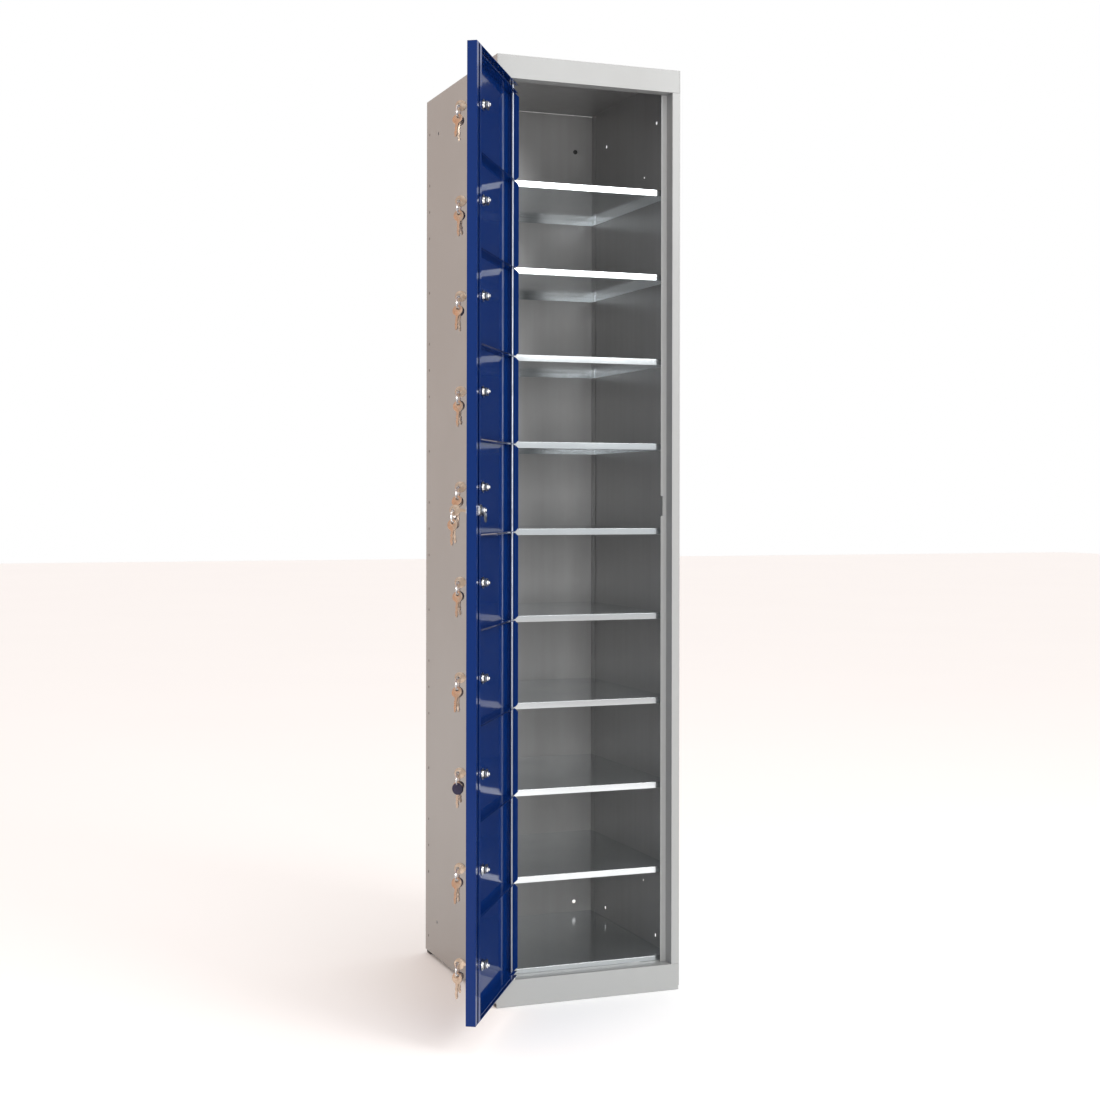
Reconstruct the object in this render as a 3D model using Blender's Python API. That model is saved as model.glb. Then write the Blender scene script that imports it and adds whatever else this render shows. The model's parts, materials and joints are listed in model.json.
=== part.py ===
"""A tall steel locker with ten stacked compartments. Ten small doors and the master frame around them
all hang on one full-length hinge rod. The master frame stands open, and each door has a cam lock.

Metres, +Z up. The locker faces -Y, its left side is -X, and its origin is on the floor, in the middle of
the front foot flange. Everything below is written with Y = 0 on the carcass's front face.
"""

import math

import bmesh
import bpy
from mathutils import Matrix

# Carcass
WIDTH = 0.380
DEPTH = 0.450
HEIGHT = 1.800
SHEET = 0.001
FIT = 0.0003  # what two touching sheets keep between them
STILE_FACE = 0.0165
REBATE = 0.0265  # how far the stop flange stands behind the front face
STOP_FLANGE = 0.012
FASCIA = 0.044
PLINTH = 0.050
FOOT = 0.020  # depth of the flange that stands on the floor
SIDE_LIFT = 0.008  # the side and back sheets end this far above the floor
SEAM_FLANGE = 0.020
FASCIA_LIP = 0.008
REAR_RAIL = 0.036

# Shelves
COMPARTMENTS = 10
SHELF_SETBACK = 0.038  # front lip behind the front face
SHELF_LIP = 0.012
SHELF_RISE = 0.006  # shelf top above the joint between two small doors
FLOOR_SHELF = 0.0093

# Fixing holes in the sheets
NEST_HOLE = 0.0035
NEST_HOLE_INSETS = (0.110, 0.080)  # from the front face and from the back face
NEST_HOLE_ENDS = (0.081, 0.081)  # above the floor, below the top
PIN_HOLE = 0.0022
PIN_HOLE_INSET = 0.170
PIN_HOLE_ENDS = (0.180, 0.181)
WALL_HOLE = 0.0040
WALL_HOLE_SPREAD = 0.148

# Hinge rod, shared by the master frame and the small doors
ROD = 0.00275
ROD_FROM_SIDE = 0.034
ROD_FROM_FRONT = 0.0095
ROD_CLEARANCE = 0.00035
ROD_END = 0.011  # what sticks out past its holes in the fascia and the plinth
PUSH_NUT = 0.0062
PUSH_NUT_THICK = 0.003
THRUST_WASHER = 0.0075

# Master frame
HINGE_GAP = 0.004
OPEN_SPARE = math.radians(1)  # short of the angle at which the doors meet the carcass
LOCK_GAP = 0.0025
TOP_GAP = 0.0085
BOTTOM_GAP = 0.0035
FRAME_DEPTH = 0.0175
TOP_RAIL = 0.016
BOTTOM_RAIL = 0.009
LOCK_STILE = 0.036
LOCK_STILE_SLOT = 0.010

# Small doors
DOOR_GAP = 0.0018
DOOR_EDGE_GAP = 0.002
DOOR_DEPTH = 0.0132
DOOR_HEEL = 0.0115  # from the rod's axis to the hinge edge
HEEL_DEPTH = 0.0195  # the hinge-side flange is deeper, with chamfered corners

# Cam locks
LOCK_INSET = 0.018  # from the small door's lock edge to the lock's axis
MASTER_LOCK_HEIGHT = 0.940
BARREL = 0.0089
BARREL_BORE = 0.0064
BARREL_CLEARANCE = 0.0004
HEAD = 0.011
HEAD_THICK = 0.0025
NUT = 0.0105
NUT_THICK = 0.004
BARREL_LENGTH = 0.017
MASTER_BARREL_LENGTH = 0.0219
PLUG = 0.006
CAM_REACH = 0.028
CAM_WIDTH = 0.014
CAM_THICK = 0.002
CAM_BACK = 0.020  # front of the cam behind the door's skin
MASTER_CAM_BACK = 0.0225
MASTER_CAM_CRANK = 0.006  # how far the cam's end is bent back, to pass behind the stop flange
CAM_NUT = 0.0062
CAM_NUT_THICK = 0.0035
CAM_SCREW = 0.003
STRIKE_NOTCH = 0.039
STRIKE_NOTCH_DEPTH = 0.004
STRIKE_NOTCH_HEIGHT = 0.947

# Keys
KEY_THICK = 0.0022
KEY_BOW = 0.012
KEY_SHANK = 0.011  # from the plug's face to the bow
KEY_BLADE = 0.0035
KEY_HOLE = 0.0032

HALF = WIDTH / 2
OPENING_HALF = HALF - STILE_FACE
INNER_HALF = HALF - SHEET - FIT
ROD_X = -HALF + ROD_FROM_SIDE
ROD_Y = ROD_FROM_FRONT
OPEN_ANGLE = 2 * math.atan2(ROD_FROM_SIDE - STILE_FACE, ROD_FROM_FRONT) - OPEN_SPARE
FRAME_LEFT = -OPENING_HALF + HINGE_GAP
FRAME_RIGHT = OPENING_HALF - LOCK_GAP
FRAME_BOTTOM = PLINTH + BOTTOM_GAP
FRAME_TOP = HEIGHT - FASCIA - TOP_GAP
STILE_LEFT = FRAME_RIGHT - LOCK_STILE
DOOR_LEFT = ROD_X - DOOR_HEEL
DOOR_RIGHT = STILE_LEFT - DOOR_EDGE_GAP
DOOR_PITCH = (FRAME_TOP - TOP_RAIL - FRAME_BOTTOM - BOTTOM_RAIL) / COMPARTMENTS
LOCK_X = DOOR_RIGHT - LOCK_INSET
MASTER_LOCK_X = (STILE_LEFT + FRAME_RIGHT) / 2
BARREL_HOLE = BARREL + BARREL_CLEARANCE
ROD_HOLE = ROD + ROD_CLEARANCE
ROUND = 32  # sides of a round piece
BEYOND = 0.02  # how far a cutter runs past what it cuts


# --- helpers ---------------------------------------------------------------------------------------


def clear_scene():
    for old in list(bpy.data.objects):
        bpy.data.objects.remove(old, do_unlink=True)


def paint(name, colour, metallic, roughness):
    material = bpy.data.materials.new(name)
    material.use_nodes = True
    surface = material.node_tree.nodes["Principled BSDF"]
    surface.inputs["Base Color"].default_value = (*colour, 1)
    surface.inputs["Metallic"].default_value = metallic
    surface.inputs["Roughness"].default_value = roughness
    return material


def pivot(name, parent=None, place=(0, 0, 0), turn=0.0):
    """An empty that stands on a joint's axis."""
    empty = bpy.data.objects.new(name, None)
    bpy.context.scene.collection.objects.link(empty)
    empty.parent = parent
    empty.location = place
    empty.rotation_euler = (0, 0, turn)
    return empty


def to_mesh(name, shape):
    bmesh.ops.remove_doubles(shape, verts=shape.verts, dist=1e-7)
    bmesh.ops.recalc_face_normals(shape, faces=shape.faces)
    mesh = bpy.data.meshes.new(name)
    shape.to_mesh(mesh)
    shape.free()
    return mesh


def combine(mesh, shape, operation):
    """The mesh with a closed shape cut from it or joined to it."""
    body = bpy.data.objects.new("body", mesh)
    tool = bpy.data.objects.new("tool", to_mesh("tool", shape))
    for helper in (body, tool):
        bpy.context.scene.collection.objects.link(helper)
    step = body.modifiers.new("step", "BOOLEAN")
    step.operation = operation
    step.object = tool
    graph = bpy.context.evaluated_depsgraph_get()
    result = bpy.data.meshes.new_from_object(body.evaluated_get(graph))
    for helper in (body, tool):
        bpy.data.objects.remove(helper, do_unlink=True)
    return result


def cut(mesh, shape):
    return combine(mesh, shape, "DIFFERENCE")


def join(mesh, shape):
    return combine(mesh, shape, "UNION")


def node(name, mesh, material, parent, place=(0, 0, 0)):
    """One named piece, with its origin at place in its parent's frame."""
    piece = bpy.data.objects.new(name, mesh)
    bpy.context.scene.collection.objects.link(piece)
    piece.parent = parent
    piece.location = place
    if not mesh.materials:
        mesh.materials.append(material)
        mesh.shade_smooth()
        mesh.set_sharp_from_angle(angle=math.radians(35))
    return piece


AXES = {"X": (1, 2, 0), "Y": (0, 2, 1), "Z": (0, 1, 2)}  # outline's first axis, its second, and the run's


def prism(outline, axis, low, high, shape=None):
    """A flat outline run from low to high along an axis."""
    shape = shape or bmesh.new()
    first, second, run = AXES[axis]
    rings = []
    for end in (low, high):
        ring = []
        for a, b in outline:
            point = [0, 0, 0]
            point[first], point[second], point[run] = a, b, end
            ring.append(shape.verts.new(point))
        rings.append(ring)
        shape.faces.new(ring)
    count = len(outline)
    for i in range(count):
        j = (i + 1) % count
        shape.faces.new((rings[0][i], rings[0][j], rings[1][j], rings[1][i]))
    return shape


def box(low, high, shape=None):
    corners = [(low[0], low[1]), (high[0], low[1]), (high[0], high[1]), (low[0], high[1])]
    return prism(corners, "Z", low[2], high[2], shape)


def circle(centre, radius, sides=ROUND):
    turn = math.tau / sides
    return [
        (centre[0] + radius * math.cos(i * turn), centre[1] + radius * math.sin(i * turn))
        for i in range(sides)
    ]


def offset(points, distance, closed):
    """The points moved to the left of the way they run, with mitred corners."""
    count = len(points)
    moved = []
    for i, (x, y) in enumerate(points):
        normals = []
        for a, b in ((i - 1, i), (i, i + 1)):
            if not closed and (a < 0 or b >= count):
                continue
            start, end = points[a % count], points[b % count]
            length = math.dist(start, end)
            normals.append(((start[1] - end[1]) / length, (end[0] - start[0]) / length))
        nx, ny = normals[0][0] + normals[-1][0], normals[0][1] + normals[-1][1]
        share = 2 * distance / (nx * nx + ny * ny)
        moved.append((x + nx * share, y + ny * share))
    return moved


def folded(path, thickness=SHEET):
    """The outline of a sheet bent along a path, with its thickness on the path's left."""
    return path + offset(path, thickness, closed=False)[::-1]


def turned(profile, axis="Y", sides=ROUND):
    """A closed (radius, height) profile turned around an axis. A profile that starts and ends at
    radius 0 makes a solid piece, and any other a ring."""
    shape = bmesh.new()
    rings = []
    for i in range(sides):
        angle = math.tau * i / sides
        ring = []
        for radius, height in profile:
            across, up = radius * math.cos(angle), radius * math.sin(angle)
            place = (across, height, up) if axis == "Y" else (across, up, height)
            ring.append(shape.verts.new(place))
        rings.append(ring)
    count = len(profile)
    for i in range(sides):
        here, there = rings[i], rings[(i + 1) % sides]
        for a in range(count):
            b = (a + 1) % count
            if profile[a][0] > 0 and profile[b][0] > 0:
                shape.faces.new((here[a], here[b], there[b], there[a]))
            elif profile[b][0] > 0:
                shape.faces.new((here[a], here[b], there[b]))
            elif profile[a][0] > 0:
                shape.faces.new((here[a], here[b], there[a]))
    return shape


def across(centre, radius, axis, low, high, sides=ROUND):
    """A round cutter or pin along an axis."""
    return prism(circle(centre, radius, sides), axis, low, high)


# --- carcass ---------------------------------------------------------------------------------------


def side_panel(side):
    """One sheet: outer wall, front stile, reveal and stop flange. side is -1 on the left, 1 on the right."""
    path = [
        (-HALF, DEPTH),
        (-HALF, 0),
        (-OPENING_HALF, 0),
        (-OPENING_HALF, REBATE),
        (-OPENING_HALF + STOP_FLANGE, REBATE),
    ]
    outline = [(-side * x, y) for x, y in folded(path)]
    mesh = to_mesh("side_panel", prism(outline, "Z", SIDE_LIFT, HEIGHT))
    inner, past = sorted((side * INNER_HALF, side * (OPENING_HALF - STOP_FLANGE - BEYOND)))
    behind = REBATE + BEYOND / 2
    mesh = cut(mesh, box((inner, -BEYOND, HEIGHT - FASCIA - FIT), (past, behind, HEIGHT + BEYOND)))
    mesh = cut(mesh, box((inner, -BEYOND, -BEYOND), (past, behind, PLINTH + FIT)))
    wall = sorted((side * (HALF + BEYOND), side * (INNER_HALF - BEYOND / 2)))
    for y in (NEST_HOLE_INSETS[0], DEPTH - NEST_HOLE_INSETS[1]):
        for z in (NEST_HOLE_ENDS[0], HEIGHT - NEST_HOLE_ENDS[1]):
            mesh = cut(mesh, across((y, z), NEST_HOLE, "X", *wall, sides=16))
    for z in (PIN_HOLE_ENDS[0], HEIGHT - PIN_HOLE_ENDS[1]):
        mesh = cut(mesh, across((PIN_HOLE_INSET, z), PIN_HOLE, "X", *wall, sides=12))
    return mesh


def right_side_panel():
    """The right side has a notch in its stop flange for the master lock."""
    edge = OPENING_HALF - STOP_FLANGE
    low = (edge - BEYOND, REBATE - BEYOND / 4, STRIKE_NOTCH_HEIGHT - STRIKE_NOTCH / 2)
    high = (edge + STRIKE_NOTCH_DEPTH, REBATE + BEYOND / 4, STRIKE_NOTCH_HEIGHT + STRIKE_NOTCH / 2)
    return cut(side_panel(1), box(low, high))


def top_panel():
    """Top sheet, fascia and the flange under the fascia that holds the hinge rod."""
    path = [
        (DEPTH, HEIGHT),
        (0, HEIGHT),
        (0, HEIGHT - FASCIA),
        (REBATE, HEIGHT - FASCIA),
        (REBATE, HEIGHT - FASCIA + FASCIA_LIP),
    ]
    mesh = to_mesh("top_panel", prism(folded(path), "X", -INNER_HALF, INNER_HALF))
    low = HEIGHT - FASCIA - BEYOND / 4
    return cut(mesh, across((ROD_X, ROD_Y), ROD_HOLE, "Z", low, low + BEYOND / 2, sides=24))


def plinth():
    """Front kick plate with a foot flange and a top flange that holds the hinge rod's lower end."""
    path = [
        (SHELF_SETBACK, PLINTH),
        (0, PLINTH),
        (0, 0),
        (FOOT, 0),
        (FOOT, FASCIA_LIP),
    ]
    mesh = to_mesh("plinth", prism(folded(path), "X", -INNER_HALF, INNER_HALF))
    low = PLINTH - BEYOND / 4
    return cut(mesh, across((ROD_X, ROD_Y), ROD_HOLE, "Z", low, low + BEYOND / 2, sides=24))


def rear_rail():
    """Channel under the back of the bottom shelf, which stands on the floor."""
    back = DEPTH - SHEET - FIT
    path = [(back - FOOT, 0), (back, 0), (back, PLINTH), (back - REAR_RAIL, PLINTH)]
    reach = INNER_HALF - SHEET - FIT
    return to_mesh("rear_rail", prism(folded(path), "X", -reach, reach))


def back_panel():
    """Back sheet with a flange at each side that is spot-welded to the side panels."""
    reach = INNER_HALF
    path = [(reach, DEPTH - SEAM_FLANGE), (reach, DEPTH), (-reach, DEPTH), (-reach, DEPTH - SEAM_FLANGE)]
    top = HEIGHT - SHEET - FIT
    mesh = to_mesh("back_panel", prism(folded(path), "Z", SIDE_LIFT, top))
    for x in (-WALL_HOLE_SPREAD, WALL_HOLE_SPREAD):
        for z in (NEST_HOLE_ENDS[0], HEIGHT - NEST_HOLE_ENDS[1]):
            ends = (DEPTH - BEYOND / 2, DEPTH + BEYOND / 2)
            mesh = cut(mesh, across((x, z), WALL_HOLE, "Y", *ends, sides=16))
    return mesh


def shelf(height):
    """A sheet with its four edges folded down, notched at the back around the back panel's flanges."""
    front, back = SHELF_SETBACK, DEPTH - SHEET - FIT
    wide = INNER_HALF
    narrow = INNER_HALF - SHEET - FIT
    notch = DEPTH - SEAM_FLANGE - FIT
    outline = [
        (-wide, front),
        (wide, front),
        (wide, notch),
        (narrow, notch),
        (narrow, back),
        (-narrow, back),
        (-narrow, notch),
        (-wide, notch),
    ]
    mesh = to_mesh("shelf", prism(outline, "Z", -height, 0))
    hollow = offset(outline, SHEET, closed=True)
    return cut(mesh, prism(hollow, "Z", -height - BEYOND, -SHEET))


def hinge_rod():
    low = PLINTH - ROD_END
    high = HEIGHT - FASCIA + ROD_END
    return to_mesh("hinge_rod", across((0, 0), ROD, "Z", low, high, sides=24))


def ring(name, radius, thickness):
    """A washer or push nut around the hinge rod, with its lower face at height 0."""
    profile = [(ROD_HOLE, 0), (radius, 0), (radius, thickness), (ROD_HOLE, thickness)]
    return to_mesh(name, turned(profile, "Z", sides=24))


# --- master frame, measured from the hinge rod's axis ----------------------------------------------


def from_rod(x, y):
    return x - ROD_X, y - ROD_Y


def lock_stile():
    """A tall box section with a slot down its back and a bore for the master lock."""
    low, high = from_rod(STILE_LEFT, 0), from_rod(FRAME_RIGHT, FRAME_DEPTH)
    mesh = to_mesh("lock_stile", box((*low, FRAME_BOTTOM), (*high, FRAME_TOP)))
    inside_low = (low[0] + SHEET, low[1] + SHEET, FRAME_BOTTOM + SHEET)
    inside_high = (high[0] - SHEET, high[1] - SHEET, FRAME_TOP - SHEET)
    mesh = cut(mesh, box(inside_low, inside_high))
    middle = (low[0] + high[0]) / 2
    slot_low = (middle - LOCK_STILE_SLOT / 2, high[1] - SHEET * 2, FRAME_BOTTOM + SHEET)
    slot_high = (middle + LOCK_STILE_SLOT / 2, high[1] + BEYOND, FRAME_TOP - SHEET)
    mesh = cut(mesh, box(slot_low, slot_high))
    bore = across((middle, MASTER_LOCK_HEIGHT), BARREL_HOLE, "Y", -BEYOND, BEYOND)
    return cut(mesh, bore)


def rail(low, high):
    """A channel that is open to the back, with a hole for the rod in both flanges."""
    front = -ROD_Y
    back = FRAME_DEPTH - ROD_Y
    path = [(back, high), (front, high), (front, low), (back, low)]
    start = FRAME_LEFT - ROD_X
    end = STILE_LEFT - FIT - ROD_X
    mesh = to_mesh("rail", prism(folded(path), "X", start, end))
    return cut(mesh, across((0, 0), ROD_HOLE, "Z", low - BEYOND, high + BEYOND, sides=24))


# --- small door, measured from the rod's axis and the door's lower edge ----------------------------


def small_door():
    """A tray pressed from one sheet, with a deep chamfered flange on its hinge side."""
    height = DOOR_PITCH - DOOR_GAP
    front, back = -ROD_Y, DOOR_DEPTH - ROD_Y
    heel = HEEL_DEPTH - ROD_Y
    slope = HEEL_DEPTH - DOOR_DEPTH
    outline = [(front, 0), (back, 0), (heel, slope), (heel, height - slope), (back, height), (front, height)]
    left, right = DOOR_LEFT - ROD_X, DOOR_RIGHT - ROD_X
    mesh = to_mesh("small_door", prism(outline, "X", left, right))
    low = (left + SHEET, front + SHEET, SHEET)
    high = (right - SHEET, heel + BEYOND, height - SHEET)
    mesh = cut(mesh, box(low, high))
    mesh = cut(mesh, box((left + SHEET, back, -BEYOND), (right + BEYOND, heel + BEYOND, height + BEYOND)))
    mesh = cut(mesh, across((0, 0), ROD_HOLE, "Z", -BEYOND, height + BEYOND, sides=24))
    bore = across((LOCK_X - ROD_X, height / 2), BARREL_HOLE, "Y", front - BEYOND, front + BEYOND / 2)
    return cut(mesh, bore)


# --- locks, measured from the lock's axis and the door's front face --------------------------------


def lock_barrel(length):
    """Head in front of the skin, threaded body, and the ring nut on its back end."""
    nut = length - NUT_THICK
    rim = HEAD_THICK * 0.2
    profile = [
        (BARREL_BORE, -FIT - HEAD_THICK),
        (HEAD - rim, -FIT - HEAD_THICK),
        (HEAD, -FIT - HEAD_THICK + rim),
        (HEAD, -FIT),
        (BARREL, -FIT),
        (BARREL, nut),
        (NUT, nut),
        (NUT, length),
        (BARREL_BORE, length),
    ]
    return to_mesh("lock_barrel", turned(profile))


def lock_core(cam_back, cam_angle, crank=0.0):
    """Plug with its cam, the nut that holds the cam, and the key in the plug."""
    face = -FIT - HEAD_THICK * 0.6
    nut = cam_back + CAM_THICK
    tip = nut + CAM_NUT_THICK
    profile = [
        (0, face),
        (PLUG, face),
        (PLUG, nut),
        (CAM_NUT, nut),
        (CAM_NUT, tip),
        (CAM_SCREW, tip),
        (CAM_SCREW, tip + CAM_SCREW),
        (0, tip + CAM_SCREW),
    ]
    mesh = to_mesh("lock_core", turned(profile))
    mesh = join(mesh, cam(cam_back, cam_angle, crank))
    blade_low = (-KEY_THICK / 2, face - KEY_SHANK, -KEY_BLADE)
    mesh = join(mesh, box(blade_low, (KEY_THICK / 2, face + PLUG / 2, KEY_BLADE)))
    bow_centre = face - KEY_SHANK - KEY_BOW + KEY_BLADE / 2
    mesh = join(mesh, across((bow_centre, 0), KEY_BOW, "X", -KEY_THICK * 0.55, KEY_THICK * 0.55, sides=24))
    hole = (bow_centre - KEY_BOW + KEY_HOLE * 2, 0)
    return cut(mesh, across(hole, KEY_HOLE, "X", -KEY_THICK, KEY_THICK, sides=16))


def cam(back, angle, crank):
    """A plate that reaches out from the axis at an angle from +X towards +Z, with its end bent back."""
    half = CAM_WIDTH / 2
    bend = half - CAM_THICK / 4
    bent = [(bend, back), (bend + crank, back + crank)] if crank else []
    path = [(-half, back), *bent, (CAM_REACH, back + crank)]
    shape = prism(folded(path, CAM_THICK), "Z", -half, half)
    turn = Matrix.Rotation(-angle, 3, "Y")
    bmesh.ops.rotate(shape, verts=shape.verts, cent=(0, 0, 0), matrix=turn)
    return shape


# --- assembly --------------------------------------------------------------------------------------


def build_carcass(root):
    shell = paint("carcass_grey", (0.58, 0.57, 0.55), 0.0, 0.45)
    bare = paint("bare_steel", (0.42, 0.43, 0.43), 0.9, 0.35)
    zinc = paint("zinc", (0.72, 0.72, 0.74), 1.0, 0.25)
    nylon = paint("nylon", (0.80, 0.79, 0.75), 0.0, 0.5)
    node("left_side_panel", side_panel(-1), shell, root)
    node("right_side_panel", right_side_panel(), shell, root)
    node("back_panel", back_panel(), shell, root)
    node("top_panel", top_panel(), shell, root)
    node("plinth", plinth(), shell, root)
    node("rear_foot_rail", rear_rail(), shell, root)
    floor_top = PLINTH + FIT + FLOOR_SHELF
    node("bottom_shelf", shelf(FLOOR_SHELF), bare, root, (0, 0, floor_top))
    mesh = shelf(SHELF_LIP)
    for i in range(1, COMPARTMENTS):
        height = FRAME_TOP - TOP_RAIL - i * DOOR_PITCH + SHELF_RISE
        node(f"shelf_{i:02d}", mesh, bare, root, (0, 0, height))
    node("hinge_rod", hinge_rod(), zinc, root, (ROD_X, ROD_Y, 0))
    nut = ring("push_nut", PUSH_NUT, PUSH_NUT_THICK)
    node("rod_push_nut_top", nut, zinc, root, (ROD_X, ROD_Y, HEIGHT - FASCIA + SHEET + FIT))
    lower_nut = PLINTH - SHEET - FIT - PUSH_NUT_THICK
    node("rod_push_nut_bottom", nut, zinc, root, (ROD_X, ROD_Y, lower_nut))
    washer = ring("thrust_washer", THRUST_WASHER, BOTTOM_GAP - 2 * FIT)
    node("thrust_washer", washer, nylon, root, (ROD_X, ROD_Y, PLINTH + FIT))


def build_lock(suffix, parent, place, materials, barrel, core):
    """A barrel that is fixed in its door, and a core that turns on the barrel's axis."""
    brass, zinc = materials
    node(f"lock_barrel_{suffix}", barrel, zinc, parent, place)
    node(f"lock_core_{suffix}", core, brass, parent, place)


def build_doors(root):
    blue = paint("door_blue", (0.02, 0.045, 0.20), 0.0, 0.3)
    brass = paint("key_brass", (0.62, 0.42, 0.26), 1.0, 0.3)
    lock_materials = (brass, paint("lock_zinc", (0.75, 0.75, 0.77), 1.0, 0.2))
    master = pivot("master_pivot", root, (ROD_X, ROD_Y, 0), -OPEN_ANGLE)
    node("master_lock_stile", lock_stile(), blue, master)
    node("master_top_rail", rail(FRAME_TOP - TOP_RAIL, FRAME_TOP), blue, master)
    node("master_bottom_rail", rail(FRAME_BOTTOM, FRAME_BOTTOM + BOTTOM_RAIL), blue, master)
    place = (MASTER_LOCK_X - ROD_X, -ROD_Y, MASTER_LOCK_HEIGHT)
    core = lock_core(MASTER_CAM_BACK, -math.pi / 2, MASTER_CAM_CRANK)
    build_lock("master", master, place, lock_materials, lock_barrel(MASTER_BARREL_LENGTH), core)
    door = small_door()
    barrel = lock_barrel(BARREL_LENGTH)
    core = lock_core(CAM_BACK, math.pi)
    for i in range(1, COMPARTMENTS + 1):
        low = FRAME_TOP - TOP_RAIL - i * DOOR_PITCH + DOOR_GAP / 2
        swing = pivot(f"door_pivot_{i:02d}", root, (ROD_X, ROD_Y, low), -OPEN_ANGLE)
        node(f"small_door_{i:02d}", door, blue, swing)
        place = (LOCK_X - ROD_X, -ROD_Y, (DOOR_PITCH - DOOR_GAP) / 2)
        build_lock(f"{i:02d}", swing, place, lock_materials, barrel, core)


def main():
    clear_scene()
    root = pivot("locker", place=(0, -FOOT / 2, 0))
    build_carcass(root)
    build_doors(root)


main()
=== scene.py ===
import json
import math

import bpy
from mathutils import Matrix, Vector

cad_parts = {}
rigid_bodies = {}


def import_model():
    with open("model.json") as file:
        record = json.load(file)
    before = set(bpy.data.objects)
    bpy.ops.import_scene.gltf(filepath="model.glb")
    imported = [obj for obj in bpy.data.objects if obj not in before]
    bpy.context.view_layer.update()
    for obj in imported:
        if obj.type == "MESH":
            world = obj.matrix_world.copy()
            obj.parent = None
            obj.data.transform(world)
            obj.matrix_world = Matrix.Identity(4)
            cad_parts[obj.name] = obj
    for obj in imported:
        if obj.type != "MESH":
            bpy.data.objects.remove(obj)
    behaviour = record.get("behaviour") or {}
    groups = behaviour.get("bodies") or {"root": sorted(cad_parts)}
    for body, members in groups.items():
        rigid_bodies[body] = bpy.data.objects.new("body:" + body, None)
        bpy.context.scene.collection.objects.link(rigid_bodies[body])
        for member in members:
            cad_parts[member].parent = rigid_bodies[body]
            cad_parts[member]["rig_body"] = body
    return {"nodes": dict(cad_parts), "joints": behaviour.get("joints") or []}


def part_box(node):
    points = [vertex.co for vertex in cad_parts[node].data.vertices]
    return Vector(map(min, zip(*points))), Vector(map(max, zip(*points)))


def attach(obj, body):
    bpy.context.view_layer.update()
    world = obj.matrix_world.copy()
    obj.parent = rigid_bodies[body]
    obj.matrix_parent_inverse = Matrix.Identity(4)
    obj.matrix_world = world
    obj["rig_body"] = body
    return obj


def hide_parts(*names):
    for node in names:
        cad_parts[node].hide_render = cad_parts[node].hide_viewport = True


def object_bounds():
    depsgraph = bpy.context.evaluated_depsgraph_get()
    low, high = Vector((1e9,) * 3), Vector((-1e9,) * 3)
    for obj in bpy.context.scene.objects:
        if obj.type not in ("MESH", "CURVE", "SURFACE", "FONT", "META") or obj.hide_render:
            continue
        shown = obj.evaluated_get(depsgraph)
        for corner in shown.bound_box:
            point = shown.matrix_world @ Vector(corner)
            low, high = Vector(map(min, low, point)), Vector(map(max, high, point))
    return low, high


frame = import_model()
cad_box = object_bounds()

# %% [markdown]
# # A tall steel locker with ten small doors in a master frame
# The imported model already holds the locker's sheets, doors, rod and locks at their real sizes.
# This lesson rounds the folded sheets, adds the locks, keys and welds, and gives every surface its finish.
# New modelling acts on whatever is selected, so the first thing to do is to deselect everything.

# %% Start with nothing selected
bpy.ops.object.select_all(action="DESELECT")
joints = {joint["name"]: joint for joint in frame["joints"]}
locks = [name for name in joints if "cam_turn" in name]
print(len(frame["nodes"]), "nodes,", len(joints), "joints,", len(locks), "locks")

# %% [markdown]
# ## Camera
# The locker is seen from its front left, at about half its height. A level camera with a little vertical
# shift keeps its upright edges parallel, where a tilted camera would make them lean.

# %% Camera
LEFT_CORNER, FRONT_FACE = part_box("left_side_panel")[0].x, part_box("left_side_panel")[0].y
HEADING, ROLL = 0.3674, 0.0016
AWAY, ACROSS, EYE_HEIGHT = 3.368, -0.1004, 0.9562
camera_data = bpy.data.cameras.new("camera")
camera = bpy.data.objects.new("camera", camera_data)
bpy.context.scene.collection.objects.link(camera)
camera_data.lens = 58.50
camera_data.shift_y = -0.0445
camera_data.clip_end = 60
place = Vector((
    LEFT_CORNER - ACROSS * math.cos(HEADING) - AWAY * math.sin(HEADING),
    FRONT_FACE + ACROSS * math.sin(HEADING) - AWAY * math.cos(HEADING),
    EYE_HEIGHT,
))
turn = Matrix.Rotation(-HEADING, 4, "Z") @ Matrix.Rotation(math.pi / 2, 4, "X")
camera.matrix_world = Matrix.Translation(place) @ turn @ Matrix.Rotation(ROLL, 4, "Z")
bpy.context.scene.camera = camera
print("camera at", [round(v, 3) for v in place])

# %% [markdown]
# ## Studio
# A big pale floor, a white sky and three soft lamps. The sky is warmer on the locker's left, which is the
# side in shade. Low down in front of the locker the room is a little darker, and the bright shelf edges
# mirror it. The main lamp stands at the front right.

# %% Sky and view
bpy.context.scene.view_settings.view_transform = "Standard"
world = bpy.data.worlds.new("studio_sky")
bpy.context.scene.world = world
world.use_nodes = True
sky = world.node_tree
background = sky.nodes["Background"]
direction = sky.nodes.new("ShaderNodeTexCoord")
split = sky.nodes.new("ShaderNodeSeparateXYZ")
sky.links.new(direction.outputs["Generated"], split.inputs[0])


def ramp(axis, low, high, dark, light):
    """A colour that goes from dark to light as one axis of the direction goes from low to high."""
    share = sky.nodes.new("ShaderNodeMapRange")
    share.inputs["From Min"].default_value, share.inputs["From Max"].default_value = low, high
    sky.links.new(split.outputs[axis], share.inputs["Value"])
    return blend(share.outputs[0], dark, light)


def blend(share, first, second):
    mixed = sky.nodes.new("ShaderNodeMix")
    mixed.data_type = "RGBA"
    sky.links.new(share, mixed.inputs[0])
    for index, colour in ((6, first), (7, second)):
        if isinstance(colour, tuple):
            mixed.inputs[index].default_value = colour
        else:
            sky.links.new(colour, mixed.inputs[index])
    return mixed.outputs[2]


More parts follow.
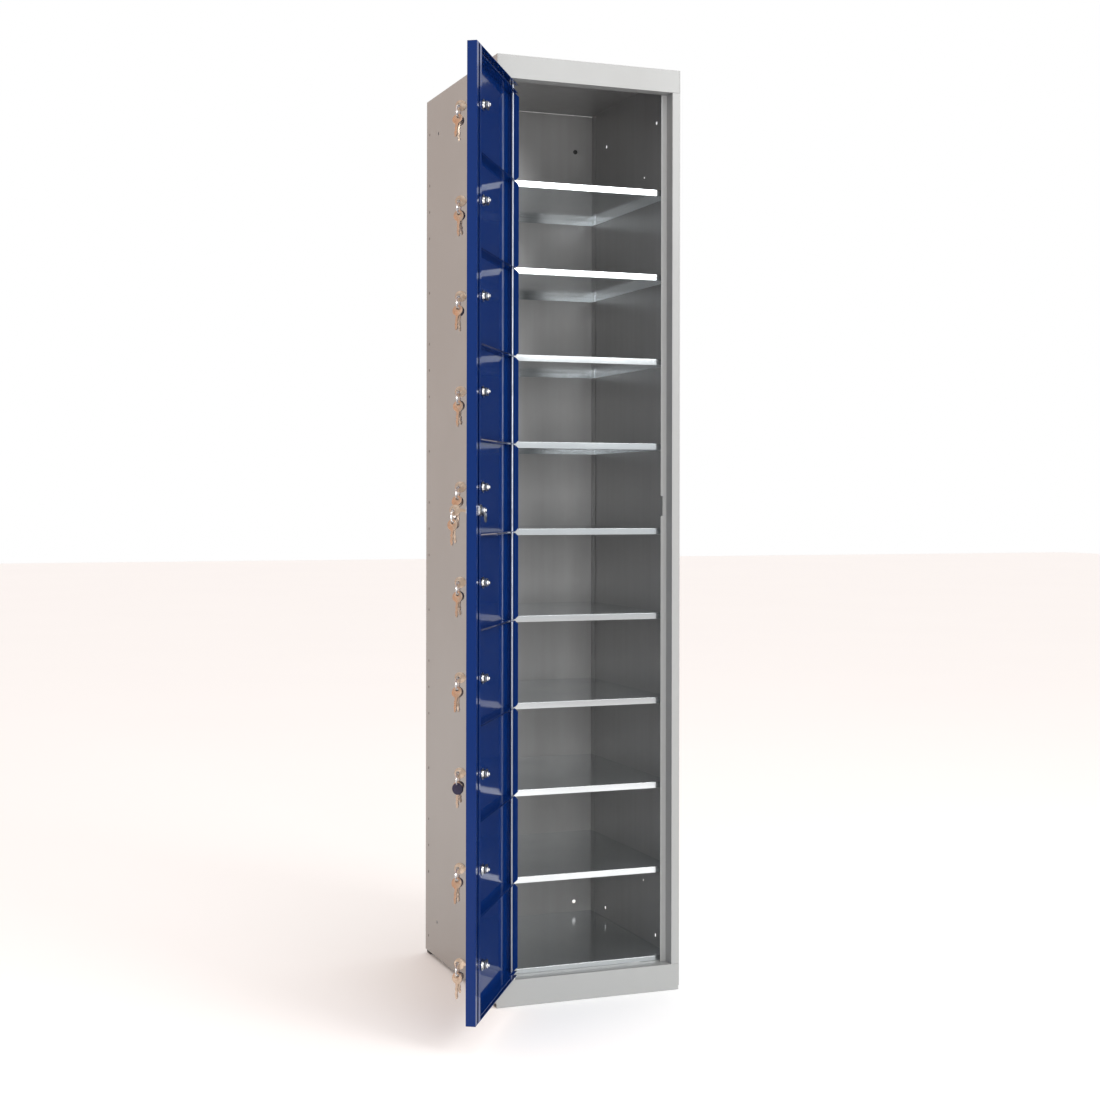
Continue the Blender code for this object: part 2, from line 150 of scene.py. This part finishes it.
WHITE = (1, 1, 1, 1)
front = ramp("Z", 0.0, 0.22, (0.62, 0.64, 0.66, 1), WHITE)
sides = ramp("X", -0.60, -0.06, (0.96, 0.65, 0.50, 1), WHITE)
sky.links.new(ramp("Y", -0.55, -0.25, front, sides), background.inputs["Color"])
background.inputs["Strength"].default_value = 1.0
print("sky ready")

# %% Lamps
def soft_lamp(name, place, target, size, watts):
    """A square white lamp that looks at a point."""
    data = bpy.data.lights.new(name, "AREA")
    data.shape, data.size, data.energy = "SQUARE", size, watts
    lamp = bpy.data.objects.new(name, data)
    bpy.context.scene.collection.objects.link(lamp)
    look = Vector(target) - Vector(place)
    lamp.matrix_world = Matrix.Translation(place) @ look.to_track_quat("-Z", "Y").to_matrix().to_4x4()


soft_lamp("key_lamp", (1.6, -3.4, 2.6), (0, 0, 1.0), 1.6, 60)
soft_lamp("top_lamp", (-0.4, -1.2, 3.6), (0, 0, 1.2), 1.5, 14)
soft_lamp("fill_lamp", (-0.25, -3.5, 1.05), (0, 0.2, 0.95), 1.4, 50)
print("lamps ready")

# %% [markdown]
# ## Shader maths
# A finish is a network of nodes. Written one node at a time it is hard to read, so one small class wraps a
# socket and lets ordinary Python operators add the Math nodes. A second one holds a finish's network.

# %% Sockets that do sums
class Value:
    def __init__(self, recipe, socket):
        self.recipe, self.socket = recipe, socket

    def sum(self, operation, *parts):
        return self.recipe.node("ShaderNodeMath", {"operation": operation}, dict(enumerate(parts)))

    def __add__(self, other):
        return self.sum("ADD", self, other)

    def __sub__(self, other):
        return self.sum("SUBTRACT", self, other)

    def __mul__(self, other):
        return self.sum("MULTIPLY", self, other)

    def __gt__(self, other):
        return self.sum("GREATER_THAN", self, other)

    def __lt__(self, other):
        return self.sum("LESS_THAN", self, other)

    def __abs__(self):
        return self.sum("ABSOLUTE", self)


class Recipe:
    """One finish: a material, its shader and the nodes that feed it."""

    def __init__(self, name, **constants):
        self.material = bpy.data.materials.new(name)
        self.material.use_nodes = True
        self.tree = self.material.node_tree
        self.shader = self.tree.nodes["Principled BSDF"]
        for socket, value in constants.items():
            self.shader.inputs[socket.replace("_", " ")].default_value = value

    def node(self, kind, settings=(), inputs=(), output=0):
        made = self.tree.nodes.new(kind)
        for name, value in dict(settings).items():
            setattr(made, name, value)
        for name, value in dict(inputs).items():
            if isinstance(value, Value):
                self.tree.links.new(value.socket, made.inputs[name])
            else:
                made.inputs[name].default_value = value
        return Value(self, made.outputs[output])

    def feed(self, socket, value):
        self.tree.links.new(value.socket, self.shader.inputs[socket])

    def where(self):
        return self.node("ShaderNodeTexCoord", output="Object")

    def stretched(self, scale):
        return self.node("ShaderNodeMapping", {}, {"Vector": self.where(), "Scale": scale})

    def noise(self, scale, detail=2.0, vector=None):
        inputs = {"Vector": vector or self.where(), "Scale": scale, "Detail": detail}
        return self.node("ShaderNodeTexNoise", {}, inputs)

    def mix(self, share, first, second):
        return self.node("ShaderNodeMix", {"data_type": "RGBA"}, {0: share, 6: first, 7: second}, 2)

    def spread(self, value, low, high):
        """Turns a noise, which stays around a half, into a value that runs from low to high."""
        smooth = {"interpolation_type": "SMOOTHSTEP"}
        return self.node("ShaderNodeMapRange", smooth, {0: value, 1: 0.2, 2: 0.8, 3: low, 4: high})

    def dents(self, height, distance, strength):
        inputs = {"Height": height, "Distance": distance, "Strength": strength}
        return self.node("ShaderNodeBump", {}, inputs)


print("shader maths ready")

# %% [markdown]
# ## Carcass finish
# Outside, the sheets carry a satin light grey powder coat with a fine orange-peel skin. Inside, the same
# sheets are more metallic. One finish does both: where a point lies decides which it gets.

# %% Carcass paint
PAINT, PAINT_WARM = (0.318, 0.324, 0.320, 1), (0.302, 0.304, 0.298, 1)
MILL, MILL_DARK = (0.37, 0.37, 0.37, 1), (0.33, 0.325, 0.32, 1)
carcass_paint = Recipe("carcass_paint", Metallic=0.0)
spot = carcass_paint.node("ShaderNodeSeparateXYZ", {}, {0: carcass_paint.where()})
axis = [Value(carcass_paint, spot.socket.node.outputs[i]) for i in range(3)]
SKIN, MILL_FROM_Y, MILL_FROM_Z = 0.00045, 0.0182, 0.052
outer_x, outer_y, outer_z = (side - SKIN for side in cad_box[1])
inside = (abs(axis[0]) < outer_x) * (axis[1] > MILL_FROM_Y) * (axis[1] < outer_y)
inside = inside * (axis[2] < outer_z) * (axis[2] > MILL_FROM_Z)
cloud = carcass_paint.spread(carcass_paint.noise(2.5, 4), 0.0, 1.0)
streaks = carcass_paint.spread(carcass_paint.noise(1.0, 5, carcass_paint.stretched((60, 60, 3))), 0.0, 1.0)
outer_colour = carcass_paint.mix(cloud, PAINT, PAINT_WARM)
inner_colour = carcass_paint.mix(streaks * 0.6 + cloud * 0.4, MILL, MILL_DARK)
carcass_paint.feed("Base Color", carcass_paint.mix(inside, outer_colour, inner_colour))
carcass_paint.feed("Metallic", inside * 0.4)
carcass_paint.feed("Roughness", carcass_paint.spread(cloud, 0.36, 0.40) - inside * 0.06)
peel = carcass_paint.noise(700, 2)
carcass_paint.feed("Normal", carcass_paint.dents(peel, 0.00004, 0.5))
print("carcass paint ready, mill finish inside", [round(v, 5) for v in (outer_x, outer_y, outer_z)])

# %% [markdown]
# ## Other finishes
# The shelves are bare galvanised sheet with a faint spangle. The doors are gloss blue, and the rod is zinc
# plated. Lock heads and nuts are nickel, and the keys are coppery brass rubbed bright by use.

# %% Galvanised sheet
galvanised = Recipe("galvanised_sheet", Metallic=0.92)
cells = {"Vector": galvanised.where(), "Scale": 110}
spangle = galvanised.node("ShaderNodeTexVoronoi", {}, cells, "Color")
flake = galvanised.node("ShaderNodeSeparateColor", {}, {0: spangle})
drift = galvanised.spread(galvanised.noise(9, 4), 0.0, 1.0)
ZINC_BRIGHT, ZINC_DULL = (0.72, 0.755, 0.77, 1), (0.64, 0.675, 0.69, 1)
galvanised.feed("Base Color", galvanised.mix(flake * 0.2 + drift * 0.8, ZINC_BRIGHT, ZINC_DULL))
galvanised.feed("Roughness", galvanised.spread(flake * 0.1 + drift * 0.9, 0.13, 0.18))
galvanised.feed("Normal", galvanised.dents(galvanised.noise(14, 1), 0.00001, 0.05))
print("galvanised sheet ready")

# %% Blue gloss
blue_gloss = Recipe("blue_gloss", Specular_IOR_Level=0.17)
shade = blue_gloss.spread(blue_gloss.noise(3.5, 3), 0.0, 1.0)
BLUE, BLUE_DEEP = (0.0025, 0.021, 0.122, 1), (0.0020, 0.018, 0.108, 1)
blue_gloss.feed("Base Color", blue_gloss.mix(shade, BLUE, BLUE_DEEP))
blue_gloss.feed("Roughness", blue_gloss.spread(shade, 0.07, 0.11))
blue_gloss.feed("Normal", blue_gloss.dents(blue_gloss.noise(300, 1), 0.00001, 0.10))
print("blue gloss ready")


# %% Plated and rubbed metals
def plated(name, bright, dull, smooth, rough, scale, along=120):
    """A metal with rubbed patches and fine hairlines, which are long in Z where along is small."""
    recipe = Recipe(name, Metallic=1.0)
    patch = recipe.spread(recipe.noise(scale, 4), 0.0, 1.0)
    recipe.feed("Base Color", recipe.mix(patch, (*bright, 1), (*dull, 1)))
    recipe.feed("Roughness", recipe.spread(patch, smooth, rough))
    hairs = recipe.noise(1.0, 2, recipe.stretched((900, 900, along)))
    recipe.feed("Normal", recipe.dents(hairs, 0.000002, 0.06))
    return recipe


zinc_plate = plated("zinc_plate", (0.30, 0.32, 0.37), (0.24, 0.26, 0.30), 0.28, 0.36, 60, along=2)
cam_steel = plated("cam_steel", (0.16, 0.17, 0.19), (0.11, 0.12, 0.14), 0.30, 0.42, 120)
nickel = plated("nickel", (0.86, 0.86, 0.86), (0.72, 0.73, 0.74), 0.12, 0.24, 180)
key_brass = plated("key_brass", (0.62, 0.50, 0.40), (0.46, 0.35, 0.26), 0.24, 0.42, 150)
print("metals ready")

# %% Nylon and cap plastic
cap_plastic = Recipe("cap_plastic", Specular_IOR_Level=0.4)
rub = cap_plastic.spread(cap_plastic.noise(200, 3), 0.0, 1.0)
cap_plastic.feed("Base Color", cap_plastic.mix(rub, (0.016, 0.014, 0.050, 1), (0.026, 0.024, 0.064, 1)))
cap_plastic.feed("Roughness", cap_plastic.spread(rub, 0.30, 0.45))
nylon = Recipe("nylon")
haze = nylon.spread(nylon.noise(120, 3), 0.0, 1.0)
nylon.feed("Base Color", nylon.mix(haze, (0.80, 0.79, 0.74, 1), (0.72, 0.70, 0.64, 1)))
nylon.feed("Roughness", nylon.spread(haze, 0.42, 0.58))
nylon.feed("Normal", nylon.dents(nylon.noise(900, 2), 0.00002, 0.4))
print("nylon ready")

# %% [markdown]
# ## Floor
# The floor is pale and plain, and forty metres across. In front of the locker it gets darker.

# %% Floor
FLOOR_SIZE, FLOOR_MIDDLE, JUST_BELOW = 40, 5.0, -0.0005
GREY_FROM, PALE_FROM = -3.5, -0.9
floor_finish = Recipe("floor_finish", Roughness=0.8, Emission_Strength=0.07)
PALE, PALE_SHADE = (0.92, 0.92, 0.92, 1), (0.90, 0.90, 0.90, 1)
pale = floor_finish.mix(floor_finish.noise(0.8, 3), PALE, PALE_SHADE)
along = floor_finish.node("ShaderNodeSeparateXYZ", {}, {0: floor_finish.where()}, 1)
stretch = {0: along, 1: GREY_FROM - FLOOR_MIDDLE, 2: PALE_FROM - FLOOR_MIDDLE}
behind = floor_finish.node("ShaderNodeMapRange", {}, stretch)
floor_finish.feed("Base Color", floor_finish.mix(behind, (0.58, 0.58, 0.59, 1), pale))
floor_finish.feed("Emission Color", floor_finish.mix(behind, (0.6, 0.6, 0.6, 1), (1, 1, 1, 1)))
bpy.ops.mesh.primitive_grid_add(
    x_subdivisions=12, y_subdivisions=12, size=FLOOR_SIZE, location=(0, FLOOR_MIDDLE, JUST_BELOW)
)
floor = bpy.context.object
floor.name = "studio_floor"
floor.data.materials.append(floor_finish.material)
bpy.ops.object.select_all(action="DESELECT")
print("floor ready")


# %% [markdown]
# ## Folded sheets
# A brake press never leaves a sharp fold, and paint rounds the cut edges further. Those small radii catch the
# light and are what makes a sheet look like steel. Each sheet is copied from its node, its triangles are
# merged into flat faces, and a bevel rounds what is left. The copy stands for the node.

# %% Round a sheet
FOLD_RADIUS, FOLD_STEPS = 0.00042, 2


def rounded_copy(node, finish):
    """A copy of a node with its edges rounded, which takes the node's place."""
    body = frame["nodes"][node]["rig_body"]
    mesh = frame["nodes"][node].data.copy()
    piece = bpy.data.objects.new(f"{node}_formed", mesh)
    bpy.context.scene.collection.objects.link(piece)
    bpy.context.view_layer.objects.active = piece
    piece.select_set(True)
    bpy.ops.object.mode_set(mode="EDIT")
    bpy.ops.mesh.select_all(action="SELECT")
    bpy.ops.mesh.remove_doubles(threshold=0.000005)
    bpy.ops.mesh.dissolve_limited(angle_limit=math.radians(1))
    bpy.ops.object.mode_set(mode="OBJECT")
    bevel = piece.modifiers.new("edge", "BEVEL")
    bevel.width, bevel.segments, bevel.angle_limit = FOLD_RADIUS, FOLD_STEPS, math.radians(40)
    bpy.ops.object.modifier_apply(modifier=bevel.name)
    bpy.ops.object.shade_smooth_by_angle(angle=math.radians(35))
    flat = piece.modifiers.new("flat", "WEIGHTED_NORMAL")
    flat.weight, flat.keep_sharp = 100, True
    bpy.ops.object.modifier_apply(modifier=flat.name)
    piece.data.materials.clear()
    piece.data.materials.append(finish.material)
    piece.select_set(False)
    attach(piece, body)
    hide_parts(node)


PAINTED = ("left_side_panel", "right_side_panel", "top_panel", "plinth", "back_panel", "rear_foot_rail")
BLUE_NODES = ("small_door", "master_lock_stile", "master_top", "master_bottom")
for name in PAINTED:
    rounded_copy(name, carcass_paint)
for name in frame["nodes"]:
    if "shelf" in name:
        rounded_copy(name, galvanised)
    elif name.startswith(BLUE_NODES):
        rounded_copy(name, blue_gloss)
print("sheets rounded")


# %% Finishes for the nodes that stay
def finish_node(name, finish):
    materials = frame["nodes"][name].data.materials
    materials.clear()
    materials.append(finish.material)


for name in ("hinge_rod", "rod_push_nut_top", "rod_push_nut_bottom"):
    finish_node(name, zinc_plate)
finish_node("thrust_washer", nylon)
for name in frame["nodes"]:
    if name.startswith("lock_barrel"):
        finish_node(name, nickel)
print("nodes finished")

# %% [markdown]
# ## Locks and keys
# A cam lock is a barrel through the door, a plug that turns in it, and a cam on the plug's back end under a
# hexagon nut. Each plug holds a key, and on that key's ring hang its spares. The small locks are all the
# same, and the master lock is a little longer, with a bent cam. So each piece is modelled once for its kind
# at the world's origin, facing -Y, and is copied into the place and turn of each lock. A lock's joint says
# both: its position is the middle of the lock, and its axis points out of the door.


# %% Where each lock is
def lock_place(joint_name):
    """The matrix from a lock at the origin to the lock of this joint."""
    joint = joints[joint_name]
    inward = -Vector(joint["axis"]).normalized()
    up = Vector((0, 0, 1))
    turned = Matrix((inward.cross(up), inward, up)).transposed().to_4x4()
    return Matrix.Translation(joint["pos_m"]) @ turned


print("locks at heights", [round(joints[name]["pos_m"][2], 3) for name in locks])


# %% Small tools for edit mode
def edit(piece):
    """Makes a piece the only one selected, and opens it in edit mode with all of it selected."""
    bpy.ops.object.select_all(action="DESELECT")
    bpy.context.view_layer.objects.active = piece
    piece.select_set(True)
    bpy.ops.object.mode_set(mode="EDIT")
    bpy.ops.mesh.select_all(action="SELECT")


def pick_faces(piece, wanted):
    """Selects the faces whose middle and normal satisfy a test."""
    bpy.ops.mesh.select_all(action="DESELECT")
    bpy.ops.object.mode_set(mode="OBJECT")
    for face in piece.data.polygons:
        face.select = wanted(face.center, face.normal)
    bpy.ops.object.mode_set(mode="EDIT")
    bpy.ops.mesh.select_mode(type="FACE")


def settle(piece, name, finish, edge=0.0, steps=2):
    """Applies the piece's transform, rounds its edges and gives it its name and finish."""
    if bpy.context.mode != "OBJECT":
        bpy.ops.object.mode_set(mode="OBJECT")
    bpy.ops.object.transform_apply(location=True, rotation=True, scale=True)
    if edge:
        bevel = piece.modifiers.new("edge", "BEVEL")
        bevel.width, bevel.segments, bevel.angle_limit = edge, steps, math.radians(35)
        bpy.ops.object.modifier_apply(modifier=bevel.name)
    bpy.ops.object.shade_smooth_by_angle(angle=math.radians(40))
    piece.name = name
    piece.data.materials.clear()
    piece.data.materials.append(finish.material)
    piece.select_set(False)
    return piece


def joined(pieces):
    bpy.ops.object.select_all(action="DESELECT")
    for piece in pieces:
        piece.select_set(True)
    bpy.context.view_layer.objects.active = pieces[0]
    bpy.ops.object.join()
    return pieces[0]


def round_bar(sides, radius, depth, y, z=0):
    """A cylinder along Y with its middle at y and z, selected."""
    bpy.ops.mesh.primitive_cylinder_add(
        vertices=sides, radius=radius, depth=depth, location=(0, y, z), rotation=(math.pi / 2, 0, 0)
    )
    return bpy.context.object


print("edit tools ready")

# %% Plug
PLUG_R, FACE_Y, RIM, DISH = 0.0060, -0.0019, 0.0012, 0.0004


def plug(name, length):
    """The plug: a cylinder with a dished face."""
    piece = round_bar(32, PLUG_R, length, FACE_Y + length / 2)
    bpy.ops.object.transform_apply(location=True, rotation=True, scale=True)
    edit(piece)
    pick_faces(piece, lambda centre, normal: normal.y < -0.9)
    bpy.ops.mesh.inset(thickness=RIM, depth=0)
    bpy.ops.mesh.inset(thickness=DISH, depth=-DISH)
    return settle(piece, name, nickel, 0.0002)


print("plug ready")


# %% Cam, nut and screw end
CAM_LONG, CAM_WIDE, CAM_THICK = 0.028, 0.014, 0.002
WASHER_R, WASHER_THICK, WASHER_MIDDLE = 0.0064, 0.0009, 0.0006
NUT_R, NUT_THICK, NUT_MIDDLE = 0.0060, 0.0034, 0.0027
SCREW_R, SCREW_LONG, SCREW_MIDDLE = 0.0028, 0.0040, 0.0052


def cam(name, back, angle, crank=0.0):
    """The cam: a plate with a round end about the lock's axis and its far end bent back by the crank."""
    half = CAM_WIDE / 2
    piece = round_bar(32, half, CAM_THICK, back + CAM_THICK / 2)
    bpy.ops.object.transform_apply(location=True, rotation=True, scale=True)
    edit(piece)
    pick_faces(piece, lambda centre, normal: abs(normal.y) < 0.5 and centre.x > 0.0001)
    straight = CAM_LONG - 2 * half - crank
    if crank:
        bpy.ops.mesh.extrude_region_move(TRANSFORM_OT_translate={"value": (crank, crank, 0)})
    bpy.ops.mesh.extrude_region_move(TRANSFORM_OT_translate={"value": (straight, 0, 0)})
    bpy.ops.mesh.select_all(action="SELECT")
    bpy.ops.transform.rotate(value=angle, orient_axis="Y", center_override=(0, 0, 0))
    return settle(piece, name, cam_steel, 0.0004)


def hex_nut(name, back):
    """A chamfered hexagon nut, its washer and the end of the screw."""
    washer = round_bar(32, WASHER_R, WASHER_THICK, back + WASHER_MIDDLE)
    washer = settle(washer, "washer", zinc_plate, 0.0002)
    nut = settle(round_bar(6, NUT_R, NUT_THICK, back + NUT_MIDDLE), "nut", nickel, 0.0005)
    screw = settle(round_bar(24, SCREW_R, SCREW_LONG, back + SCREW_MIDDLE), "screw", nickel, 0.0006)
    piece = joined([nut, washer, screw])
    piece.name = name
    piece.select_set(False)
    return piece


print("cam and nut ready")


# %% Key
BOW_R, BLADE_HALF, BLADE_LONG, KEY_THICK = 0.0098, 0.0030, 0.022, 0.0020
HOLE_DOWN, HOLE_R, NECK, TEETH, BITE = 0.0055, 0.0030, 0.004, 5, 0.0011
NECK_SHARE, TIP_SHARE = 0.38, 0.55


def flat_key(name, finish):
    """A key in the XZ plane, hung from the hole in its bow, which is at the origin, with its blade down."""
    piece = round_bar(40, BOW_R, KEY_THICK, 0, HOLE_DOWN - BOW_R)
    bpy.ops.object.transform_apply(location=True, rotation=True, scale=True)
    low = HOLE_DOWN - 2 * BOW_R
    edit(piece)
    bpy.ops.mesh.select_all(action="DESELECT")
    bpy.ops.object.mode_set(mode="OBJECT")
    for face in piece.data.polygons:
        face.select = abs(face.normal.y) < 0.5 and face.normal.z < -0.93
    bpy.ops.object.mode_set(mode="EDIT")
    bpy.ops.mesh.extrude_region_move(TRANSFORM_OT_translate={"value": (0, 0, -NECK)})
    narrow = BLADE_HALF / (BOW_R * NECK_SHARE)
    bpy.ops.transform.resize(value=(narrow, 1, 0.05), center_override=(0, 0, low - NECK))
    for tooth in range(TEETH):
        bite = BITE if tooth % 2 else -BITE
        step = (bite, 0, -BLADE_LONG / TEETH)
        bpy.ops.mesh.extrude_region_move(TRANSFORM_OT_translate={"value": step})
    bpy.ops.transform.resize(value=(TIP_SHARE, 1, 1), center_override=(0, 0, low - NECK - BLADE_LONG))
    bpy.ops.object.mode_set(mode="OBJECT")
    drill = round_bar(24, HOLE_R, 10 * KEY_THICK, 0)
    hole = piece.modifiers.new("hole", "BOOLEAN")
    hole.object, hole.operation = drill, "DIFFERENCE"
    bpy.ops.object.select_all(action="DESELECT")
    bpy.context.view_layer.objects.active = piece
    piece.select_set(True)
    bpy.ops.object.modifier_apply(modifier=hole.name)
    bpy.data.objects.remove(drill)
    return settle(piece, name, finish, 0.0004)


key_pattern = flat_key("key_pattern", key_brass)
CAP_R, CAP_THICK, CAP_TOP = BOW_R + 0.0008, 0.0040, 0.0040
key_cap = settle(round_bar(40, CAP_R, CAP_THICK, 0, CAP_TOP - CAP_R), "cap_pattern", cap_plastic, 0.0011, 3)
print("key", [round(v * 1000, 1) for v in key_pattern.dimensions], "mm")

# %% [markdown]
# ## Key rings
# A split ring hangs from the hole in the key's bow, and two spares hang from the ring, a little fanned out.
# Its two turns of wire lie side by side, so it is made of two thin coils.


# %% Ring
RING_R, WIRE = 0.0118, 0.00075


def coil(name, y):
    """One turn of the ring's wire, around the Y axis."""
    bpy.ops.mesh.primitive_torus_add(
        major_segments=40, minor_segments=8, major_radius=RING_R, minor_radius=WIRE,
        location=(0, y, 0), rotation=(math.pi / 2, 0, 0),
    )
    return settle(bpy.context.object, name, nickel)


def split_ring(name):
    """Two coils side by side, joined."""
    piece = joined([coil("coil_a", WIRE), coil("coil_b", -WIRE)])
    piece.name = name
    piece.select_set(False)
    return piece


ring_pattern = split_ring("ring_pattern")
print("ring", round(2 * (RING_R + WIRE) * 1000, 1), "mm across")


# %% Fit every lock
def placed(pattern, name, matrix, body, node=None):
    """A copy of a pattern, with its own mesh moved into place, that rides on a body."""
    mesh = pattern.data.copy()
    mesh.transform(matrix)
    piece = bpy.data.objects.new(name, mesh)
    bpy.context.scene.collection.objects.link(piece)
    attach(piece, body)
    if node:
        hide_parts(node)


HOLE_Y, CAPPED = -0.02865, "small_cam_turn_08"
RING_DROP, SPARE_DROP, QUARTER = RING_R - 0.0010, RING_R - 0.0012, math.pi / 2
SMALL_LONG, SMALL_CAM_BACK, SMALL_NUT_BACK = 0.0215, 0.020, 0.022
LARGE_LONG, LARGE_CAM_BACK, LARGE_NUT_BACK, LARGE_CRANK = 0.0240, 0.0225, 0.0245, 0.006
small_patterns = [
    plug("plug_small", SMALL_LONG),
    cam("cam_small", SMALL_CAM_BACK, math.pi),
    hex_nut("nut_small", SMALL_NUT_BACK),
]
large_patterns = [
    plug("plug_large", LARGE_LONG),
    cam("cam_large", LARGE_CAM_BACK, -QUARTER, LARGE_CRANK),
    hex_nut("nut_large", LARGE_NUT_BACK),
]
cores = {frame["nodes"][node]["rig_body"]: node for node in frame["nodes"] if node.startswith("lock_core")}
at_hole = Matrix.Translation((0, HOLE_Y, 0))
in_plug = at_hole @ Matrix.Rotation(QUARTER, 4, "X") @ Matrix.Rotation(QUARTER, 4, "Z")
sway = [0.10, -0.16, 0.22, -0.05, 0.14, -0.20, 0.06, -0.12, 0.18, -0.08, 0.12]
for index, name in enumerate(locks):
    joint = joints[name]
    tag = name.replace("_cam_turn", "").replace("small", "lock").replace("master", "lock_master")
    core = cores[joint["child"]]
    patterns = large_patterns if "master" in name else small_patterns
    where = lock_place(name)
    for pattern, part in zip(patterns, ("plug", "cam", "nut")):
        placed(pattern, f"{tag}_{part}", where, joint["child"], core)
    placed(key_pattern, f"{tag}_key", where @ in_plug, joint["child"], core)
    swing = Matrix.Rotation(sway[index], 4, "Y")
    ring_centre = at_hole @ swing @ Matrix.Translation((0, 0, -RING_DROP))
    placed(ring_pattern, f"{tag}_ring", where @ ring_centre, joint["parent"])
    for number, fan in enumerate((0.30, -0.22)):
        hang = ring_centre @ Matrix.Rotation(fan, 4, "Y") @ Matrix.Translation((0, 0, -SPARE_DROP))
        hang = hang @ Matrix.Rotation(QUARTER + fan, 4, "Z")
        placed(key_pattern, f"{tag}_spare_{number + 1}", where @ hang, joint["parent"])
        if name == CAPPED and number == 1:
            placed(key_cap, f"{tag}_key_cap", where @ hang, joint["parent"])
for pattern in small_patterns + large_patterns + [key_pattern, key_cap, ring_pattern]:
    bpy.data.objects.remove(pattern)
print(len(locks), "locks fitted")

# %% [markdown]
# ## Spot welds and plugs
# The sheets are spot welded. Each weld leaves a shallow pit on the outside, in a row along the back edge
# of each side panel. A weld is modelled once, as a low dome with painted shade, and copied: its dark colour
# stands in for the shade inside the pit. The two upper fixing holes in the back are closed with dark plugs.


# %% Spot welds
def dome(name, radius, height):
    """A flattened ball with its middle on the XY plane, so half of it stands out as a low dome."""
    bpy.ops.mesh.primitive_uv_sphere_add(segments=20, ring_count=10, radius=radius, location=(0, 0, 0))
    piece = bpy.context.object
    bpy.ops.transform.resize(value=(1, 1, height / radius))
    return settle(piece, name, weld_mark)


# Painted shade: these dark greys stand in for the shade inside each shallow weld pit, not for a colour of the
# paint.
weld_mark = Recipe("weld_mark", Metallic=0.3)
pit_shade_mottle = weld_mark.spread(weld_mark.noise(400, 2), 0.0, 1.0)
weld_mark.feed("Base Color", weld_mark.mix(pit_shade_mottle, (0.20, 0.19, 0.18, 1), (0.11, 0.105, 0.10, 1)))
weld_mark.feed("Roughness", weld_mark.spread(pit_shade_mottle, 0.35, 0.50))
WELD_INSET, FOOT_WELD, FIRST_WELD, WELD_PITCH = 0.020, 0.040, 0.175, 0.3335
WELD_R, WELD_HIGH, WELD_STEPS = 0.0031, 0.0006, (0.0, 0.0555, 0.111, 0.2185)
weld = dome("weld_pattern", WELD_R, WELD_HIGH)
low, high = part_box("left_side_panel")
side_turn = Matrix.Rotation(math.pi / 2, 4, "Y")
heights = [FIRST_WELD + WELD_PITCH * group + step for group in range(5) for step in WELD_STEPS]
welds = []
for side in (-1, 1):
    for height in [FOOT_WELD] + heights:
        welds.append(Matrix.Translation((side * abs(low.x), high.y - WELD_INSET, height)) @ side_turn)
for number, spot_at in enumerate(welds):
    placed(weld, f"weld_{number:02d}", spot_at, "carcass")
bpy.data.objects.remove(weld)
print(len(welds), "welds")


# %% Hole plugs
BUTTON_R, BUTTON_THICK, BUTTON_MIDDLE = 0.0049, 0.0016, -0.0007
HOLE_SIDE, HOLE_UP, BACK_SHEET = 0.148, 1.719, 0.0011
plug_rubber = Recipe("plug_rubber")
wear = plug_rubber.spread(plug_rubber.noise(300, 2), 0.0, 1.0)
plug_rubber.feed("Base Color", plug_rubber.mix(wear, (0.022, 0.022, 0.022, 1), (0.012, 0.012, 0.012, 1)))
plug_rubber.feed("Roughness", plug_rubber.spread(wear, 0.45, 0.65))
button = round_bar(32, BUTTON_R, BUTTON_THICK, BUTTON_MIDDLE)
button = settle(button, "button_pattern", plug_rubber, 0.0005, 3)
back_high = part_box("back_panel")[1]
for number, x in enumerate((-HOLE_SIDE, HOLE_SIDE)):
    in_hole = Matrix.Translation((x, back_high.y - BACK_SHEET, HOLE_UP))
    placed(button, f"hole_plug_{number + 1}", in_hole, "carcass")
bpy.data.objects.remove(button)
print("two upper holes plugged, back panel at y", round(back_high.y, 4))
